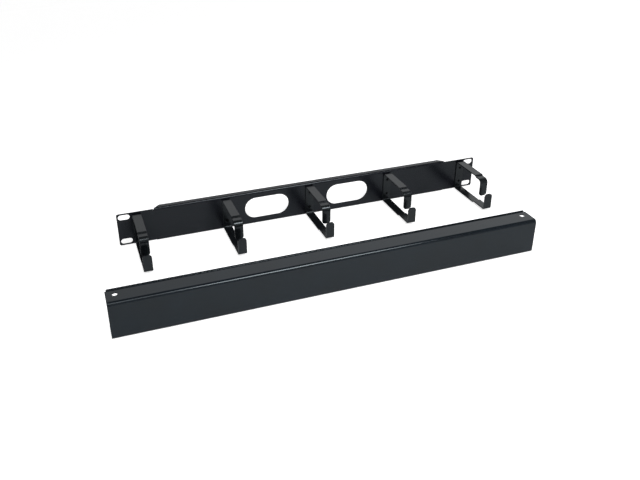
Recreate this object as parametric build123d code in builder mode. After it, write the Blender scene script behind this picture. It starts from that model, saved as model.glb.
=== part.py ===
from build123d import *
from math import radians, tan
import os

os.makedirs("parts", exist_ok=True)

# Millimetres. X runs along the rack opening, the front faces -Y and +Z is up.
# The origin is the middle of the four rack slots, on the back of the panel's ears.
# Heights are given from the panel's lowest edge, and depths from its front face.

# Back panel: one folded steel sheet that fills one unit of a nineteen inch rack
panel_width = 482.6
panel_height = 44.0
panel_sheet = 1.5
panel_bend_inside = 1.0
flange_depth = 8.0
ear_length = 43.8
ear_height = 41.4
ear_corner = 2.0
ear_bottom = 1.5
flange_corner = 3.0

# Mounting slots in the ears, at the hole spacing of the rack's rails
slot_from_end = 8.75
slot_pitch_z = 31.75
slot_length = 13.9
slot_width = 7.0

# Oval holes that let cables through the panel
oval_length = 57.5
oval_height = 27.8
oval_z = 22.0
oval_shift = -0.7

# Cable rings: five C shaped strips, each folded from one piece
ring_count = 5
ring_from_end = 22.3
ring_shift = 1.4
ring_width = 10.6
ring_strip = 1.5
ring_top = 40.9
ring_bottom = 1.4
ring_step = 1.5
step_from_finger = 14.0
step_run = 2.0
upper_reach = 61.0
lower_reach = 74.0
upper_tip_z = 16.6
lower_tip_z = 24.6
tip_radius = 4.0
strip_edge = 0.3
foot_bend_inside = 1.5
step_bend = 2.0
upper_bend_outside = 6.0
lower_bend_outside = 2.4

# Blind rivets, two through each ring's foot, with countersunk heads
rivet_z = 21.8
rivet_pitch = 20.0
shank_d = 3.2
head_d = 6.0
head_angle = 120
head_room = 0.1
pin_d = 2.0
pin_recess = 1.3
bulge_d = 4.8
bulge_length = 2.6
bulge_edge = 1.0
pin_head_d = 3.0
pin_head_length = 1.0
pin_head_edge = 0.6

# Cover: a folded channel that is pushed over the rings' stepped ends
cover_sheet = 1.0
cover_over_arms = 1.75
cover_seat_gap = 0.3
cover_step_gap = 1.75
cover_low_bend_outside = 2.6
cover_top_bend_outside = 4.0
lip_rise = 1.2
lip_bend_inside = 0.5
lip_setback = 1.5
lip_corner = 1.0
lip_relief = 1.0
cover_corner = 1.5
cover_hole_d = 5.3
cover_hole_from_end = 9.3
cover_hole_from_face = 15.2

# Where the cover stands, taken off, in front of the rings
cover_x = -28.4
cover_away = 81.9

middle_width = panel_width - 2 * ear_length
ear_z = ear_bottom + ear_height / 2
panel_bend_outside = panel_bend_inside + panel_sheet
panel_half = panel_sheet / 2
strip_half = ring_strip / 2
cover_half = cover_sheet / 2
slot_pitch_x = panel_width - 2 * slot_from_end
ring_pitch = (panel_width - 2 * ring_from_end) / (ring_count - 1)
first_ring = ring_shift - ring_pitch * (ring_count - 1) / 2
ring_places = [first_ring + ring_pitch * i for i in range(ring_count)]
# The ovals sit in the middle bays, between the inner rings
middle_bays = zip(ring_places[1:-2], ring_places[2:-1])
oval_places = [(left + right) / 2 - ring_shift + oval_shift for left, right in middle_bays]
step_start = upper_reach - step_from_finger
rivet_heights = [rivet_z - rivet_pitch / 2, rivet_z + rivet_pitch / 2]
head_height = (head_d - shank_d) / 2 / tan(radians(head_angle / 2))
sink_height = head_height + head_room / tan(radians(head_angle / 2))
arms_height = ring_top - ring_bottom - 2 * ring_step
cover_length = panel_width
cover_height = arms_height + 2 * cover_over_arms + 2 * cover_sheet
cover_depth = cover_sheet + cover_seat_gap + lower_reach - step_start - step_run - cover_step_gap
cover_face_y = -lower_reach - cover_away - cover_depth

# Side, front and level planes through the panel's lowest front edge
low_edge = (0, -panel_sheet, -ear_z)
side = Plane(origin=low_edge, x_dir=(0, 1, 0), z_dir=(1, 0, 0))
front = Plane(origin=low_edge, x_dir=(1, 0, 0), z_dir=(0, -1, 0))
level = Plane(origin=low_edge, x_dir=(1, 0, 0), z_dir=(0, 0, 1))

with BuildPart() as panel:
    # The middle, with its top and bottom flanges folded back
    with BuildSketch(side.offset(-middle_width / 2)):
        with BuildLine():
            FilletPolyline(
                (flange_depth, panel_height - panel_half),
                (panel_half, panel_height - panel_half),
                (panel_half, panel_half),
                (flange_depth, panel_half),
                radius=panel_bend_inside + panel_half,
            )
        trace(line_width=panel_sheet)
    extrude(amount=middle_width)
    # The ends of both flanges are cut at an angle
    for height in (0, panel_height - panel_bend_outside):
        with BuildSketch(level.offset(height)):
            with BuildLine():
                Polyline(
                    (middle_width / 2, 0),
                    (middle_width / 2 + flange_depth, 0),
                    (middle_width / 2 + flange_depth, 2 * flange_depth),
                    (middle_width / 2 - 2 * flange_depth, 2 * flange_depth),
                    close=True,
                )
            make_face()
            mirror(about=Plane.YZ)
        extrude(amount=panel_bend_outside, mode=Mode.SUBTRACT)
    # The corners that this leaves at the back of the flanges are rounded
    back_corners = panel.edges().filter_by(Axis.Z).group_by(Axis.Y)[-1]
    fillet(back_corners, flange_corner)
    # The flat ears, a little shorter than the folded middle
    with BuildSketch(front) as ears:
        with Locations((-(middle_width + ear_length) / 2, ear_z), ((middle_width + ear_length) / 2, ear_z)):
            Rectangle(ear_length, ear_height)
        fillet(ears.vertices().group_by(Axis.X)[0], ear_corner)
        fillet(ears.vertices().group_by(Axis.X)[-1], ear_corner)
    extrude(amount=-panel_sheet)
    # Rack slots, cable holes and rivet holes
    with BuildSketch(front):
        with Locations((0, ear_z)):
            with GridLocations(slot_pitch_x, slot_pitch_z, 2, 2):
                SlotOverall(slot_length, slot_width)
        with Locations(*[(x, oval_z) for x in oval_places]):
            SlotOverall(oval_length, oval_height)
        with Locations(*[(x, z) for x in ring_places for z in rivet_heights]):
            Circle(shank_d / 2)
    extrude(amount=-panel_sheet, mode=Mode.SUBTRACT)

panel.part.label = "back_panel"
export_step(panel.part, "parts/back_panel.step")

for number, ring_x in enumerate(ring_places, start=1):
    with BuildPart() as ring:
        # Side shape of the strip, from the upper finger round to the lower one
        with BuildSketch(side.offset(ring_x - ring_width / 2)):
            with BuildLine():
                FilletPolyline(
                    (strip_half - upper_reach, upper_tip_z),
                    (strip_half - upper_reach, ring_top - ring_step - strip_half),
                    (-step_start - step_run, ring_top - ring_step - strip_half),
                    (-step_start, ring_top - strip_half),
                    (-strip_half, ring_top - strip_half),
                    (-strip_half, ring_bottom + strip_half),
                    (-step_start, ring_bottom + strip_half),
                    (-step_start - step_run, ring_bottom + ring_step + strip_half),
                    (strip_half - lower_reach, ring_bottom + ring_step + strip_half),
                    (strip_half - lower_reach, lower_tip_z),
                    radius=[
                        upper_bend_outside - strip_half,
                        step_bend,
                        step_bend,
                        foot_bend_inside + strip_half,
                        foot_bend_inside + strip_half,
                        step_bend,
                        step_bend,
                        lower_bend_outside - strip_half,
                    ],
                )
            trace(line_width=ring_strip)
        extrude(amount=ring_width)
        # Rounded finger tips
        ends = ring.faces().filter_by(Axis.Z).sort_by(SortBy.AREA)[:2]
        fillet(ends.edges().filter_by(Axis.Y), tip_radius)
        # Softened edges along both sides of the strip
        sides = ring.faces().filter_by(Axis.X).sort_by(Axis.X)
        fillet(sides[0].edges() + sides[-1].edges(), strip_edge)
        # Countersunk rivet holes through the foot
        with BuildSketch(front):
            with Locations(*[(ring_x, z) for z in rivet_heights]):
                Circle(shank_d / 2)
        extrude(amount=ring_strip, mode=Mode.SUBTRACT)
        with BuildSketch(front.offset(ring_strip)):
            with Locations(*[(ring_x, z) for z in rivet_heights]):
                Circle(head_d / 2 + head_room)
        extrude(amount=-sink_height, taper=head_angle / 2, mode=Mode.SUBTRACT)
    ring.part.label = f"cable_ring_{number}"
    export_step(ring.part, f"parts/cable_ring_{number}.step")

    for place, z in zip(("lower", "upper"), rivet_heights):
        with BuildPart() as rivet:
            # Countersunk head, level with the front of the ring's foot
            with BuildSketch(front.offset(ring_strip)):
                with Locations((ring_x, z)):
                    Circle(head_d / 2)
            extrude(amount=-head_height, taper=head_angle / 2)
            # Shank through both sheets, then the end that swelled behind the panel
            with BuildSketch(front.offset(ring_strip)):
                with Locations((ring_x, z)):
                    Circle(shank_d / 2)
            extrude(amount=-ring_strip - panel_sheet)
            with BuildSketch(front.offset(-panel_sheet)):
                with Locations((ring_x, z)):
                    Circle(bulge_d / 2)
            extrude(amount=-bulge_length)
            fillet(rivet.edges().sort_by(Axis.Y)[-1], bulge_edge)
            # Bore that the pin was pulled through
            with BuildSketch(front.offset(ring_strip)):
                with Locations((ring_x, z)):
                    Circle(pin_d / 2)
            extrude(amount=-ring_strip - panel_sheet - bulge_length, mode=Mode.SUBTRACT)
        rivet.part.label = f"rivet_{number}_{place}"
        export_step(rivet.part, f"parts/rivet_{number}_{place}.step")

        with BuildPart() as pin:
            # Broken off stub that stays in the rivet, with its head at the back
            with BuildSketch(front.offset(-panel_sheet - bulge_length)):
                with Locations((ring_x, z)):
                    Circle(pin_d / 2)
            extrude(amount=bulge_length + panel_sheet + ring_strip - pin_recess)
            with BuildSketch(front.offset(-panel_sheet - bulge_length)):
                with Locations((ring_x, z)):
                    Circle(pin_head_d / 2)
            extrude(amount=-pin_head_length)
            fillet(pin.edges().sort_by(Axis.Y)[-1], pin_head_edge)
        pin.part.label = f"rivet_pin_{number}_{place}"
        export_step(pin.part, f"parts/rivet_pin_{number}_{place}.step")

with BuildPart() as cover:
    # Side shape: bottom flange, face, top flange and the low lip along its back
    back_y = cover_face_y + cover_depth
    with BuildSketch(side.offset(cover_x - cover_length / 2)):
        with BuildLine():
            FilletPolyline(
                (back_y, cover_half),
                (cover_face_y + cover_half, cover_half),
                (cover_face_y + cover_half, cover_height - cover_half),
                (back_y - cover_half, cover_height - cover_half),
                (back_y - cover_half, cover_height + lip_rise),
                radius=[
                    cover_low_bend_outside - cover_half,
                    cover_top_bend_outside - cover_half,
                    lip_bend_inside + cover_half,
                ],
            )
        trace(line_width=cover_sheet)
    extrude(amount=cover_length)
    # The lip stops short of both ends, and its upper corners are rounded
    notch_depth = cover_sheet + lip_relief
    with BuildSketch(level.offset(cover_height - 2 * cover_sheet)):
        with Locations((cover_x, back_y - notch_depth / 2)):
            with GridLocations(cover_length - lip_setback, 0, 2, 1):
                Rectangle(lip_setback, notch_depth)
    extrude(amount=2 * cover_sheet + lip_rise, mode=Mode.SUBTRACT)
    fillet(cover.edges().filter_by(Axis.Y).group_by(Axis.Z)[-1], lip_corner)
    # Holes near the ends of the top flange
    with BuildSketch(level.offset(cover_height)):
        with Locations((cover_x, cover_face_y + cover_hole_from_face)):
            with GridLocations(cover_length - 2 * cover_hole_from_end, 0, 2, 1):
                Circle(cover_hole_d / 2)
    extrude(amount=-cover_sheet, mode=Mode.SUBTRACT)
    # Rounded back corners of the bottom flange
    low_back = cover.edges().filter_by(Axis.Z).group_by(Axis.Z)[0].group_by(Axis.Y)[-1]
    fillet(low_back, cover_corner)

cover.part.label = "cover"
export_step(cover.part, "parts/cover.step")
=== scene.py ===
import math

import bpy
from bpy.props import FloatProperty, FloatVectorProperty, IntProperty, PointerProperty
from bpy.types import Operator, Panel, PropertyGroup
from mathutils import Matrix, Vector


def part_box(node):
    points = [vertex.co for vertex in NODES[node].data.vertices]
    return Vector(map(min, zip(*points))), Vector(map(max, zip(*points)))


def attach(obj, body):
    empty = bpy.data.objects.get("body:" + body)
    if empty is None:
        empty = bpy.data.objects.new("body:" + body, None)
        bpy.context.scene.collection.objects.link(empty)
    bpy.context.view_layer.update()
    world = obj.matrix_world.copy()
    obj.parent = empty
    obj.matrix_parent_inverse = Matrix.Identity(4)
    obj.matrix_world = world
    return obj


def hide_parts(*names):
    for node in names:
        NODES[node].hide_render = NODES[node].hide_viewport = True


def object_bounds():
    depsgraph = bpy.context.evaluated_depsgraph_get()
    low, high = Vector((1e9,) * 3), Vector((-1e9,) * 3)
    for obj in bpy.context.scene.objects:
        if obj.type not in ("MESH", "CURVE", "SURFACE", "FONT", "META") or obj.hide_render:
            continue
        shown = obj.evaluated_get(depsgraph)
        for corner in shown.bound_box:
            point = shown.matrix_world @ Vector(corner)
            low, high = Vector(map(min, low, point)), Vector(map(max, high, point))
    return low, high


bl_info = {
    "name": "Horizontal Cable Manager",
    "version": (1, 0, 0),
    "blender": (4, 5, 0),
    "location": "3D View > Sidebar > Cable Manager",
    "description": "Coats the sheet metal of a rack cable manager and lights it in a plain studio",
    "category": "Object",
}

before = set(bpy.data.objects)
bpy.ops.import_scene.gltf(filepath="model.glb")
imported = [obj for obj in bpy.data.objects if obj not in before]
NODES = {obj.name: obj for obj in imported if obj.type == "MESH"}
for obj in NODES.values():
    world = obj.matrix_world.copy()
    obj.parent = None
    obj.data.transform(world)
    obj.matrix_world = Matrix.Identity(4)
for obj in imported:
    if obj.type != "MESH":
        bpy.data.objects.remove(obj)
CAD_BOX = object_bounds()

PANEL_BODY = "panel"
COVER_BODY = "cover"
RINGS = sorted(n for n in NODES if n.startswith("cable_ring_"))
PINS = sorted(n for n in NODES if n.startswith("rivet_pin_"))
RIVETS = sorted(n for n in NODES if n.startswith("rivet_") and n not in PINS)

MM = 0.001

# Where each pattern starts and where it is full, as the stops of a ramp
THIN_EDGE_STOPS = ((0.86, 1.0), (0.985, 0.0))
CLOUD_STOPS = ((0.32, 0.0), (0.7, 1.0))
SPECK_STOPS = ((0.60, 0.0), (0.74, 1.0))
RUB_STOPS = ((0.58, 0.0), (0.75, 1.0))
STAIN_STOPS = ((0.35, 0.0), (0.65, 1.0))
# The rivets' dots: painted shade of the bores, fading out past the bores
PAINTED_SHADE_DOT_STOPS = ((0.40, 1.0), (0.60, 0.0))
FLOOR_END_STOPS = ((0.6, 0.0), (1.0, 1.0))
WALL_SIDE_STOPS = ((0.0, 0.0), (0.35, 1.0))
ROOM_HEIGHT_STOPS = ((0.35, 1.0), (0.62, 0.0))


def middle_of(node):
    """The middle of a CAD node's box."""
    low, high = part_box(node)
    return (low + high) / 2


# Three neighbouring rivets give the pattern that the bores repeat in
LOWER_RIVET, UPPER_RIVET, NEXT_RIVET = (middle_of(node) for node in RIVETS[:3])


class Wire:
    """A shader socket that Python's operators add Math nodes to."""

    def __init__(self, tree, socket):
        self.tree = tree
        self.socket = socket

    def _math(self, operation, first, second):
        return self.tree.node("ShaderNodeMath", {"operation": operation}, {0: first, 1: second}).out(0)

    def __add__(self, other):
        return self._math("ADD", self, other)

    def __radd__(self, other):
        return self._math("ADD", other, self)

    def __sub__(self, other):
        return self._math("SUBTRACT", self, other)

    def __rsub__(self, other):
        return self._math("SUBTRACT", other, self)

    def __mul__(self, other):
        return self._math("MULTIPLY", self, other)

    def __rmul__(self, other):
        return self._math("MULTIPLY", other, self)


class Placed:
    """A node that has been added, with its outputs as wires."""

    def __init__(self, tree, node):
        self.tree = tree
        self.made = node

    def out(self, key):
        return Wire(self.tree, self.made.outputs[key])


class NodeBench:
    """The node tree of one material or world, and the one way that nodes are added to it."""

    def __init__(self, owner):
        owner.use_nodes = True
        self.nodes = owner.node_tree.nodes
        self.links = owner.node_tree.links
        self.nodes.clear()

    def node(self, kind, settings=None, sockets=None, stops=None):
        made = self.nodes.new(kind)
        for key, value in (settings or {}).items():
            setattr(made, key, value)
        if stops:
            ramp = made.color_ramp
            while len(ramp.elements) < len(stops):
                ramp.elements.new(1.0)
            for element, (place, value) in zip(ramp.elements, stops):
                element.position = place
                element.color = (*value, 1.0) if isinstance(value, tuple) else (value, value, value, 1.0)
        for key, value in (sockets or {}).items():
            if isinstance(value, Wire):
                self.links.new(value.socket, made.inputs[key])
            else:
                made.inputs[key].default_value = value
        return Placed(self, made)

    def noise(self, where, size, detail, roughness=0.5):
        values = {"Vector": where, "Scale": 1.0 / size, "Detail": detail, "Roughness": roughness}
        return self.node("ShaderNodeTexNoise", None, values).out("Fac")

    def fold(self, value, half_pitch):
        """How far a value is from the nearest of the places that lie twice half_pitch apart."""
        return self.node("ShaderNodeMath", {"operation": "PINGPONG"}, {0: value, 1: half_pitch}).out(0)

    def ramp(self, value, *stops):
        return self.node("ShaderNodeValToRGB", None, {"Fac": value}, stops).out("Color")

    def blend(self, share, first, second):
        settings = {"data_type": "RGBA", "clamp_factor": True}
        return self.node("ShaderNodeMix", settings, {0: share, 6: first, 7: second}).out(2)


def surface(name, finish, values):
    """A material whose principled shader takes these values and what finish makes."""
    material = bpy.data.materials.new(name)
    bench = NodeBench(material)
    sockets = dict(values)
    sockets.update(finish(bench))
    shader = bench.node("ShaderNodeBsdfPrincipled", None, sockets)
    bench.node("ShaderNodeOutputMaterial", None, {"Surface": shader.out("BSDF")})
    return material


def rounded_edge_share(bench, reach):
    """1 on outer edges within reach and 0 on flat faces, from how far a rounded normal turns."""
    soft = bench.node("ShaderNodeBevel", {"samples": 6}, {"Radius": reach}).out("Normal")
    hard = bench.node("ShaderNodeNewGeometry").out("Normal")
    turned = bench.node("ShaderNodeVectorMath", {"operation": "DOT_PRODUCT"}, {0: soft, 1: hard})
    return bench.ramp(turned.out("Value"), *THIN_EDGE_STOPS)


def powder_coat(looks, colour, roughness, tint_shift=(0.0, 0.0, 0.0)):
    """Black powder coat: fine grain, a soft orange peel, cloudy gloss, and edges lightened as thin coat
    and as a painted highlight.
    """

    def finish(bench):
        where = bench.node("ShaderNodeTexCoord").out("Object")
        peel = bench.noise(where, looks.peel_size, detail=2.0)
        grain = bench.noise(where, looks.grain_size, detail=3.0, roughness=0.6)
        cloud = bench.noise(where, looks.cloud_size, detail=4.0, roughness=0.55)
        rub = bench.noise(where, looks.rub_size, detail=5.0, roughness=0.65)
        edge = rounded_edge_share(bench, looks.edge_reach)

        dark = tuple(looks.dark_cloud * c for c in colour)
        light = tuple(looks.light_cloud * c + s for c, s in zip(colour, tint_shift))
        clouded = bench.blend(bench.ramp(cloud, *CLOUD_STOPS), (*dark, 1.0), (*light, 1.0))
        speck = bench.ramp(grain, *SPECK_STOPS)
        specked = bench.blend(speck * looks.speck_share, clouded, (*looks.speck_colour, 1.0))
        # Outer edges lightened: thin coat, and a painted highlight too
        worn_and_highlit = bench.blend(edge * looks.edge_share, specked, (*looks.edge_colour, 1.0))

        patches = (cloud - 0.5) * looks.cloud_gloss + (grain - 0.5) * looks.grain_gloss
        rubbed = bench.ramp(rub, *RUB_STOPS) * looks.rub_gloss
        height = peel * looks.peel_part + grain * (1.0 - looks.peel_part)
        bump = bench.node(
            "ShaderNodeBump", None,
            {"Strength": looks.bump_strength, "Distance": looks.bump_depth, "Height": height},
        ).out("Normal")
        return {
            "Base Color": worn_and_highlit,
            "Roughness": patches + rubbed + roughness - edge * looks.edge_gloss,
            "Normal": bump,
        }

    return finish


def coat_values(looks, specular):
    """What is the same all over a coated piece."""
    return {"Specular IOR Level": specular, "Specular Tint": (*looks.sheen_tint, 1.0)}


def painted_bore_shade_share(bench, rivet):
    """1 where shade is painted, in a rivet's bore and on a rim round it, 0 on the rest of the head."""
    where = bench.node("ShaderNodeTexCoord").out("Object")
    parts = bench.node("ShaderNodeSeparateXYZ", None, {0: where})
    aside = bench.fold(parts.out("X") - LOWER_RIVET.x, (NEXT_RIVET.x - LOWER_RIVET.x) / 2)
    above = bench.fold(parts.out("Z") - LOWER_RIVET.z, (UPPER_RIVET.z - LOWER_RIVET.z) / 2)
    away = (aside * aside + above * above) * (1.0 / rivet.shade_dot_radius ** 2)
    return bench.ramp(away * 0.5, *PAINTED_SHADE_DOT_STOPS)


def rivet_coat(looks, rivet):
    """The rings' coat, with painted shade, near black, in the bore and out to a rim round it."""
    coat = powder_coat(looks, looks.ring_colour, looks.rivet_roughness)

    def finish(bench):
        values = coat(bench)
        # Painted shade: the bore and a rim round it turn near black and metallic
        painted_bore_shade = painted_bore_shade_share(bench, rivet)
        values["Base Color"] = bench.blend(painted_bore_shade, values["Base Color"], (*rivet.bore_shade_colour, 1.0))
        values["Roughness"] = values["Roughness"] + painted_bore_shade * rivet.bore_roughness
        values["Metallic"] = painted_bore_shade
        return values

    return finish


def pin_steel(looks, rivet):
    """Steel of a pin that was pulled and broke off: stains and a grainy end, both darkened as painted
    shade in the bore.
    """

    def finish(bench):
        where = bench.node("ShaderNodeTexCoord").out("Object")
        grain = bench.noise(where, looks.grain_size, detail=4.0, roughness=0.7)
        stain = bench.ramp(bench.noise(where, rivet.stain_size, detail=3.0), *STAIN_STOPS)
        bump = bench.node(
            "ShaderNodeBump", None,
            {"Strength": rivet.pin_bump_strength, "Distance": rivet.pin_bump_depth, "Height": grain},
        ).out("Normal")
        return {
            # Both colours are darkened as painted shade of the bore; the stains between them are real
            "Base Color": bench.blend(stain, (*rivet.pin_stain_shaded, 1.0), (*rivet.pin_clean_shaded, 1.0)),
            "Roughness": grain * rivet.pin_grain_gloss + rivet.pin_roughness,
            "Normal": bump,
        }

    return finish


def floor_paint(stage):
    """Pale floor that is lifted to white for the camera, keeps its shadows and ends softly."""
    material = bpy.data.materials.new("studio_floor")
    bench = NodeBench(material)
    colour = (*stage.floor_colour, 1.0)
    matt = bench.node("ShaderNodeBsdfDiffuse", None, {"Color": colour}).out("BSDF")
    light = {"Color": colour, "Strength": stage.floor_lift}
    glow = bench.node("ShaderNodeEmission", None, light).out("Emission")
    lifted = bench.node("ShaderNodeAddShader", None, {0: matt, 1: glow}).out(0)
    seen = bench.node("ShaderNodeLightPath").out("Is Camera Ray")
    mixed = bench.node("ShaderNodeMixShader", None, {0: seen, 1: matt, 2: lifted}).out(0)
    where = bench.node("ShaderNodeTexCoord").out("Object")
    away = bench.node("ShaderNodeVectorMath", {"operation": "LENGTH"}, {0: where}).out("Value")
    share = bench.ramp(away * (1.0 / stage.floor_reach), *FLOOR_END_STOPS)
    clear = bench.node("ShaderNodeBsdfTransparent").out("BSDF")
    faded = bench.node("ShaderNodeMixShader", None, {0: share, 1: mixed, 2: clear}).out(0)
    bench.node("ShaderNodeOutputMaterial", None, {"Surface": faded})
    return material


class CoatLooks(PropertyGroup):
    """Sizes and colours of the black coat"""

    panel_colour: FloatVectorProperty(
        name="Panel Colour", description="Coat of the back panel", subtype="COLOR", size=3,
        default=(0.0048, 0.0058, 0.0090))
    ring_colour: FloatVectorProperty(
        name="Ring Colour", description="Coat of the cable rings", subtype="COLOR", size=3,
        default=(0.0050, 0.0062, 0.0074))
    cover_colour: FloatVectorProperty(
        name="Cover Colour", description="Coat of the cover", subtype="COLOR", size=3,
        default=(0.0048, 0.0074, 0.0108))
    speck_colour: FloatVectorProperty(
        name="Speck Colour", description="Fine light grains in the coat", subtype="COLOR", size=3,
        default=(0.035, 0.036, 0.038))
    # Lighter on edges: thin coat, and a painted highlight too
    edge_colour: FloatVectorProperty(
        name="Edge Colour", description="Coat where it lies thin on an edge", subtype="COLOR", size=3,
        default=(0.045, 0.046, 0.048))
    speck_share: FloatProperty(
        name="Speck Share", description="How strongly the grains show", default=0.35)
    edge_share: FloatProperty(
        name="Edge Share", description="How strongly the thin edges show", default=0.35)
    panel_tint: FloatVectorProperty(
        name="Panel Tint", description="Colour added in the panel's lighter patches", size=3,
        default=(0.001, 0.0, 0.0))
    cover_tint: FloatVectorProperty(
        name="Cover Tint", description="Colour added in the cover's lighter patches", size=3,
        default=(-0.001, 0.0, 0.001))
    dark_cloud: FloatProperty(
        name="Dark Patches", description="Colour of the darker patches as a share of the coat's",
        default=0.82)
    light_cloud: FloatProperty(
        name="Light Patches", description="Colour of the lighter patches as a share of the coat's",
        default=1.2)
    panel_roughness: FloatProperty(
        name="Panel Roughness", description="Mean roughness of the panel's coat", default=0.22)
    ring_roughness: FloatProperty(
        name="Ring Roughness", description="Mean roughness of the rings' coat", default=0.21)
    rivet_roughness: FloatProperty(
        name="Rivet Roughness", description="Mean roughness of the rivets' coat", default=0.12)
    cover_roughness: FloatProperty(
        name="Cover Roughness", description="Mean roughness of the cover's coat", default=0.16)
    cloud_gloss: FloatProperty(
        name="Patchy Gloss", description="How much the roughness changes over the patches", default=0.08)
    grain_gloss: FloatProperty(
        name="Grainy Gloss", description="How much the roughness changes over the grain", default=0.05)
    rub_gloss: FloatProperty(
        name="Rub Dulling", description="Roughness added in the marks from handling", default=0.03)
    edge_gloss: FloatProperty(
        name="Edge Polish", description="Roughness taken off on the thin edges", default=0.03)
    specular: FloatProperty(
        name="Specular", description="Strength of the coat's reflections", default=0.5)
    panel_specular: FloatProperty(
        name="Panel Specular", description="Strength of the reflections of the panel's coat",
        default=0.42)
    sheen_tint: FloatVectorProperty(
        name="Reflection Tint", description="Tint of the coat's reflections", subtype="COLOR", size=3,
        default=(0.84, 0.94, 1.0))
    peel_size: FloatProperty(
        name="Orange Peel", description="Size of the coat's soft waves", default=2.4 * MM, unit="LENGTH")
    grain_size: FloatProperty(
        name="Grain", description="Size of the coat's fine grain", default=0.45 * MM, unit="LENGTH")
    cloud_size: FloatProperty(
        name="Clouds", description="Size of the patches where the gloss changes",
        default=38 * MM, unit="LENGTH")
    rub_size: FloatProperty(
        name="Rub Marks", description="Size of the dull marks from handling",
        default=14 * MM, unit="LENGTH")
    bump_depth: FloatProperty(
        name="Bump Depth", description="Depth of the waves and the grain",
        default=0.06 * MM, unit="LENGTH")
    bump_strength: FloatProperty(name="Bump Strength", description="Share of that depth", default=0.35)
    peel_part: FloatProperty(
        name="Peel Part", description="Share of the waves in the bumps, beside the grain", default=0.7)
    # Reach of the lighter edges, thin coat and painted highlight
    edge_reach: FloatProperty(
        name="Edge Reach", description="How far the thin coat reaches from an edge",
        default=0.5 * MM, unit="LENGTH")


class SheetSizes(PropertyGroup):
    """How the cut edges of the sheets are finished"""

    edge_radius: FloatProperty(
        name="Edge Radius", description="Most that cut edges are rounded, less where edges are short",
        default=0.28 * MM, unit="LENGTH")
    edge_steps: IntProperty(name="Edge Steps", description="Faces across a rounded edge", default=3)
    weld_distance: FloatProperty(
        name="Weld Distance", description="Corners nearer than this are one",
        default=0.002 * MM, unit="LENGTH")
    sharp_angle: FloatProperty(
        name="Sharp Angle", description="Edges that turn further are rounded", default=math.radians(40),
        subtype="ANGLE")
    flat_angle: FloatProperty(
        name="Flat Angle", description="Faces that turn less than this become one",
        default=math.radians(0.5), subtype="ANGLE")
    smooth_angle: FloatProperty(
        name="Smooth Angle", description="Edges that turn less than this are shaded smooth",
        default=math.radians(35), subtype="ANGLE")
    face_weight: IntProperty(
        name="Face Weight", description="How strongly large faces keep their flat shading", default=100)


class RivetLooks(PropertyGroup):
    """Painted shade of the rivets: dark dots on the bores, wider than the bores, and pins darkened in
    them
    """

    # Painted shade reaches this far round a bore
    shade_dot_radius: FloatProperty(
        name="Bore Rim", description="Radius of the dark dot, wider than the bore", default=1.6 * MM,
        unit="LENGTH")
    # Colour of the painted shade in and round a rivet's bore
    bore_shade_colour: FloatVectorProperty(
        name="Bore Colour", description="Dark of the dot on a rivet's head", subtype="COLOR", size=3,
        default=(0.002, 0.002, 0.002))
    bore_roughness: FloatProperty(
        name="Bore Roughness", description="Roughness added to the coat's in and around the bore",
        default=0.5)
    # Pin colours: real stains, both darkened as painted shade of the bore
    pin_stain_shaded: FloatVectorProperty(
        name="Pin Dark", description="Stained parts of the pins, made darker", subtype="COLOR", size=3,
        default=(0.012, 0.012, 0.012))
    pin_clean_shaded: FloatVectorProperty(
        name="Pin Light", description="Cleaner parts of the pins, made darker", subtype="COLOR", size=3,
        default=(0.04, 0.04, 0.039))
    stain_size: FloatProperty(
        name="Stains", description="Size of the stains on a pin", default=1.111 * MM, unit="LENGTH")
    pin_roughness: FloatProperty(
        name="Pin Roughness", description="Lowest roughness of a pin", default=0.3)
    pin_grain_gloss: FloatProperty(
        name="Pin Grain", description="How much the grain adds to a pin's roughness", default=0.3)
    pin_bump_depth: FloatProperty(
        name="Pin Bump Depth", description="Depth of the grain on a pin",
        default=0.05 * MM, unit="LENGTH")
    pin_bump_strength: FloatProperty(
        name="Pin Bump Strength", description="Share of that depth", default=0.5)


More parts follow.
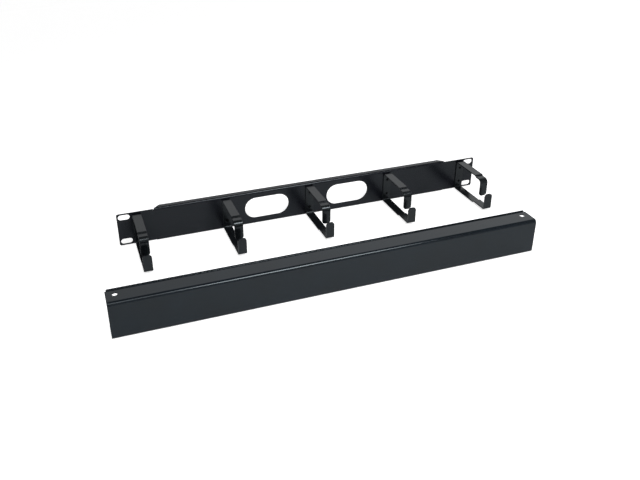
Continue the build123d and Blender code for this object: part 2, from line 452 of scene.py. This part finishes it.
class StudioSizes(PropertyGroup):
    """Camera, lamps, floor and surroundings"""

    camera_place: FloatVectorProperty(
        name="Camera Place", description="Where the camera stands", subtype="XYZ", unit="LENGTH", size=3,
        default=(-0.27401, -0.76229, 0.40543))
    camera_right: FloatVectorProperty(
        name="Camera Right", description="Direction to the right of the picture", subtype="XYZ", size=3,
        default=(0.94559457, -0.32502461, -0.01448801))
    camera_up: FloatVectorProperty(
        name="Camera Up", description="Direction to the top of the picture", subtype="XYZ", size=3,
        default=(0.16054742, 0.42742317, 0.88968195))
    camera_lens: FloatProperty(
        name="Lens", description="Focal length in millimetres", default=39.457)
    camera_sensor: FloatProperty(
        name="Sensor", description="Width of the sensor in millimetres", default=36.0)
    camera_near: FloatProperty(
        name="Nearest", description="What is nearer than this isn't seen", default=0.01, unit="LENGTH")
    camera_shift: FloatVectorProperty(
        name="Shift", description="Shift of the lens, as a share of the picture's width", size=2,
        default=(0.0397, -0.0542))
    floor_reach: FloatProperty(
        name="Floor Reach", description="How far the floor reaches from the object",
        default=2.2, unit="LENGTH")
    floor_gap: FloatProperty(
        name="Floor Gap", description="Room between the floor and the object",
        default=0.02 * MM, unit="LENGTH")
    floor_colour: FloatVectorProperty(
        name="Floor Colour", description="Paint of the floor", subtype="COLOR", size=3,
        default=(0.85, 0.85, 0.85))
    floor_lift: FloatProperty(name="Floor Lift", description="Light added for the camera", default=0.88)
    box_place: FloatVectorProperty(
        name="Softbox Place", description="Middle of the softbox over the object",
        subtype="XYZ", unit="LENGTH", size=3, default=(0.26, -0.74, 1.03))
    box_aim: FloatVectorProperty(
        name="Softbox Aim", description="What the softbox points at",
        subtype="XYZ", unit="LENGTH", size=3, default=(-0.02, -0.20, 0.0))
    box_size: FloatVectorProperty(
        name="Softbox Size", description="Width and depth of the softbox", size=2, default=(0.6, 0.45))
    box_power: FloatProperty(
        name="Softbox Power", description="Power of the softbox", default=0.86, unit="POWER")
    box_spread: FloatProperty(
        name="Softbox Spread", description="How wide the grids on the softboxes let the light fan out",
        default=math.radians(55), subtype="ANGLE")
    left_place: FloatVectorProperty(
        name="Left Box Place", description="Middle of the softbox on the left",
        subtype="XYZ", unit="LENGTH", size=3, default=(-0.38, -0.75, 1.15))
    left_size: FloatVectorProperty(
        name="Left Box Size", description="Width and depth of the softbox on the left", size=2,
        default=(0.85, 0.6))
    left_power: FloatProperty(
        name="Left Box Power", description="Power of the softbox on the left", default=0.68, unit="POWER")
    right_place: FloatVectorProperty(
        name="Right Lamp Place", description="Middle of the lamp on the right",
        subtype="XYZ", unit="LENGTH", size=3, default=(2.6, -0.6, 1.6))
    right_size: FloatVectorProperty(
        name="Right Lamp Size", description="Width and height of the lamp on the right", size=2,
        default=(1.6, 1.6))
    right_power: FloatProperty(
        name="Right Lamp Power", description="Power of the lamp on the right", default=10.0, unit="POWER")
    right_spread: FloatProperty(
        name="Right Lamp Spread", description="How wide the lamp on the right lets its light fan out",
        default=math.radians(180), subtype="ANGLE")
    wall_light: FloatProperty(
        name="Wall Light", description="Brightness of the pale wall behind", default=0.60)
    wall_right: FloatProperty(
        name="Wall Right", description="How much brighter the wall gets to the right", default=0.40)
    room_light: FloatProperty(
        name="Room Light", description="Brightness of the room in front", default=0.42)
    ceiling_light: FloatProperty(
        name="Ceiling Light", description="Brightness of the ceiling", default=0.12)
    wall_top: FloatProperty(
        name="Wall Top", description="How high the pale wall reaches",
        default=math.radians(45), subtype="ANGLE")
    wall_blur: FloatProperty(
        name="Wall Blur", description="How softly the wall ends, in height over distance", default=0.06)


def select_none():
    """Leaves edit mode and deselects everything."""
    if bpy.context.object and bpy.context.object.mode != "OBJECT":
        bpy.ops.object.mode_set(mode="OBJECT")
    bpy.ops.object.select_all(action="DESELECT")


def select_only(piece):
    """One piece selected and active, and nothing else."""
    select_none()
    piece.select_set(True)
    bpy.context.view_layer.objects.active = piece


def paint(piece, material):
    """Puts one material on the whole piece."""
    slots = piece.material_slots
    if not slots:
        piece.data.materials.append(material)
    for slot in slots:
        slot.material = material


def rounded_copy(node, name, body, sizes):
    """A merged copy of a sheet that stands for its node, with its cut edges slightly rounded."""
    source = NODES[node]
    select_only(source)
    bpy.ops.object.duplicate()
    piece = bpy.context.object
    if piece is source:
        raise RuntimeError(f"{node} was not copied")
    piece.name = name
    piece.parent = None
    for key in list(piece.keys()):
        if key.startswith("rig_"):
            del piece[key]
    select_only(piece)
    bpy.ops.mesh.customdata_custom_splitnormals_clear()
    bpy.ops.object.mode_set(mode="EDIT")
    bpy.ops.mesh.select_all(action="SELECT")
    bpy.ops.mesh.remove_doubles(threshold=sizes.weld_distance)
    bpy.ops.mesh.dissolve_limited(angle_limit=sizes.flat_angle)
    bpy.ops.object.mode_set(mode="OBJECT")
    # Short edges hold the rounding to about 0.03 mm on the panel and 0.1 mm on the cover
    edge = piece.modifiers.new("coated_edge", "BEVEL")
    edge.width = sizes.edge_radius
    edge.segments = sizes.edge_steps
    edge.limit_method = "ANGLE"
    edge.angle_limit = sizes.sharp_angle
    edge.miter_outer = "MITER_ARC"
    bpy.ops.object.modifier_apply(modifier=edge.name)
    bpy.ops.object.shade_smooth_by_angle(angle=sizes.smooth_angle)
    even = piece.modifiers.new("flat_faces_stay_flat", "WEIGHTED_NORMAL")
    even.mode = "FACE_AREA"
    even.weight = sizes.face_weight
    even.keep_sharp = True
    bpy.ops.object.modifier_apply(modifier=even.name)
    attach(piece, body)
    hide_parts(node)
    return piece


class CABLEMANAGER_OT_panel(Operator):
    """Slightly round the cut edges of the back panel and coat it"""

    bl_idname = "cable_manager.coat_panel"
    bl_label = "Coat Back Panel"

    def execute(self, context):
        looks = context.scene.coat_looks
        sizes = context.scene.sheet_sizes
        piece = rounded_copy("back_panel", "coated_panel", PANEL_BODY, sizes)
        coat = powder_coat(looks, looks.panel_colour, looks.panel_roughness, looks.panel_tint)
        paint(piece, surface("panel_coat_black", coat, coat_values(looks, looks.panel_specular)))
        return {"FINISHED"}


class CABLEMANAGER_OT_rings(Operator):
    """Coat the cable rings"""

    bl_idname = "cable_manager.coat_rings"
    bl_label = "Coat Cable Rings"

    def execute(self, context):
        looks = context.scene.coat_looks
        coat = powder_coat(looks, looks.ring_colour, looks.ring_roughness)
        material = surface("ring_coat_black", coat, coat_values(looks, looks.specular))
        for node in RINGS:
            paint(NODES[node], material)
        return {"FINISHED"}


class CABLEMANAGER_OT_rivets(Operator):
    """Coat the rivets with painted shade in their bores, and finish the pins that broke off in them,
    darkened as painted shade
    """

    bl_idname = "cable_manager.coat_rivets"
    bl_label = "Coat Rivets"

    def execute(self, context):
        looks = context.scene.coat_looks
        rivet = context.scene.rivet_looks
        coat = rivet_coat(looks, rivet)
        material = surface("rivet_coat_black", coat, coat_values(looks, looks.specular))
        for node in RIVETS:
            paint(NODES[node], material)
        steel = surface("pin_steel_dull", pin_steel(looks, rivet), {"Metallic": 1.0})
        for node in PINS:
            paint(NODES[node], steel)
        return {"FINISHED"}


class CABLEMANAGER_OT_cover(Operator):
    """Slightly round the cut edges of the cover and coat it"""

    bl_idname = "cable_manager.coat_cover"
    bl_label = "Coat Cover"

    def execute(self, context):
        looks = context.scene.coat_looks
        sizes = context.scene.sheet_sizes
        piece = rounded_copy("cover", "coated_cover", COVER_BODY, sizes)
        coat = powder_coat(looks, looks.cover_colour, looks.cover_roughness, looks.cover_tint)
        paint(piece, surface("cover_coat_black", coat, coat_values(looks, looks.specular)))
        return {"FINISHED"}


def lay_floor(studio):
    """The pale floor just under the object."""
    low, high = CAD_BOX
    middle = (low + high) / 2
    place = (middle.x, middle.y, low.z - studio.floor_gap)
    bpy.ops.mesh.primitive_plane_add(size=2 * studio.floor_reach, location=place)
    floor = bpy.context.object
    floor.name = "floor"
    paint(floor, floor_paint(studio))


def area_lamp(name, place, aim, size, power, spread):
    """A rectangular lamp that points at aim."""
    bpy.ops.object.light_add(type="AREA", location=place)
    lamp = bpy.context.object
    lamp.name = name
    lamp.data.shape = "RECTANGLE"
    lamp.data.size, lamp.data.size_y = size
    lamp.data.energy = power
    lamp.data.spread = spread
    lamp.rotation_euler = (Vector(aim) - Vector(place)).to_track_quat("-Z", "Y").to_euler()


def hang_lamps(studio):
    """Two softboxes over the object and a wide lamp on the right."""
    aim = studio.box_aim
    grid = studio.box_spread
    area_lamp("softbox", studio.box_place, aim, studio.box_size, studio.box_power, grid)
    area_lamp("left_softbox", studio.left_place, aim, studio.left_size, studio.left_power, grid)
    wide = studio.right_spread
    area_lamp("right_lamp", studio.right_place, aim, studio.right_size, studio.right_power, wide)


def wrap_room(scene, studio):
    """White for the camera, and for reflections a pale wall behind, a grey room and a dark ceiling."""
    world = bpy.data.worlds.new("studio")
    scene.world = world
    bench = NodeBench(world)
    direction = bench.node("ShaderNodeTexCoord").out("Generated")
    parts = bench.node("ShaderNodeSeparateXYZ", None, {0: direction})
    top = math.sin(studio.wall_top)
    below_top = bench.ramp(parts.out("Z"), (top - studio.wall_blur, 1.0), (top + studio.wall_blur, 0.0))
    behind = bench.ramp(parts.out("Y"), *WALL_SIDE_STOPS)
    wall = parts.out("X") * studio.wall_right + studio.wall_light
    below_ceiling = bench.ramp(parts.out("Z"), *ROOM_HEIGHT_STOPS)
    room = below_ceiling * (studio.room_light - studio.ceiling_light) + studio.ceiling_light
    around = behind * below_top * (wall - room) + room
    seen = bench.node("ShaderNodeLightPath").out("Is Camera Ray")
    strength = seen + (1 - seen) * around
    sky = bench.node("ShaderNodeBackground", None, {"Color": (1, 1, 1, 1), "Strength": strength})
    bench.node("ShaderNodeOutputWorld", None, {"Surface": sky.out("Background")})


def place_camera(scene, studio):
    """The camera, where the photograph was taken from."""
    right = Vector(studio.camera_right).normalized()
    up = Vector(studio.camera_up).normalized()
    back = right.cross(up)
    bpy.ops.object.camera_add()
    camera = bpy.context.object
    camera.name = "camera"
    turn = Matrix((right, up, back)).transposed().to_4x4()
    camera.matrix_world = Matrix.Translation(Vector(studio.camera_place)) @ turn
    camera.data.sensor_width = studio.camera_sensor
    camera.data.lens = studio.camera_lens
    camera.data.shift_x, camera.data.shift_y = studio.camera_shift
    camera.data.clip_start = studio.camera_near
    scene.camera = camera


class CABLEMANAGER_OT_studio(Operator):
    """Set up the floor, the camera, the lamps and the surroundings"""

    bl_idname = "cable_manager.studio"
    bl_label = "Set Up Studio"

    def execute(self, context):
        scene = context.scene
        studio = scene.studio_sizes
        select_none()
        lay_floor(studio)
        hang_lamps(studio)
        wrap_room(scene, studio)
        place_camera(scene, studio)
        scene.view_settings.view_transform = "Standard"
        return {"FINISHED"}


class CABLEMANAGER_PT_panel(Panel):
    """Steps that finish the cable manager, in order"""

    bl_idname = "CABLEMANAGER_PT_panel"
    bl_label = "Cable Manager"
    bl_space_type = "VIEW_3D"
    bl_region_type = "UI"
    bl_category = "Cable Manager"

    def draw(self, context):
        layout = self.layout
        for step in STEPS:
            layout.operator(step.bl_idname)
        for group in GROUPS:
            values = getattr(context.scene, group)
            box = layout.box()
            for key in values.__annotations__:
                box.prop(values, key)


GROUPS = {
    "coat_looks": CoatLooks,
    "sheet_sizes": SheetSizes,
    "rivet_looks": RivetLooks,
    "studio_sizes": StudioSizes,
}
STEPS = (
    CABLEMANAGER_OT_panel,
    CABLEMANAGER_OT_rings,
    CABLEMANAGER_OT_rivets,
    CABLEMANAGER_OT_cover,
    CABLEMANAGER_OT_studio,
)


def register():
    for cls in (*GROUPS.values(), *STEPS, CABLEMANAGER_PT_panel):
        bpy.utils.register_class(cls)
    for name, cls in GROUPS.items():
        setattr(bpy.types.Scene, name, PointerProperty(type=cls))


def unregister():
    for name in GROUPS:
        delattr(bpy.types.Scene, name)
    for cls in (CABLEMANAGER_PT_panel, *reversed(STEPS), *reversed(GROUPS.values())):
        bpy.utils.unregister_class(cls)


def main():
    register()
    bpy.ops.cable_manager.coat_panel()
    bpy.ops.cable_manager.coat_rings()
    bpy.ops.cable_manager.coat_rivets()
    bpy.ops.cable_manager.coat_cover()
    bpy.ops.cable_manager.studio()


if __name__ == "__main__":
    main()
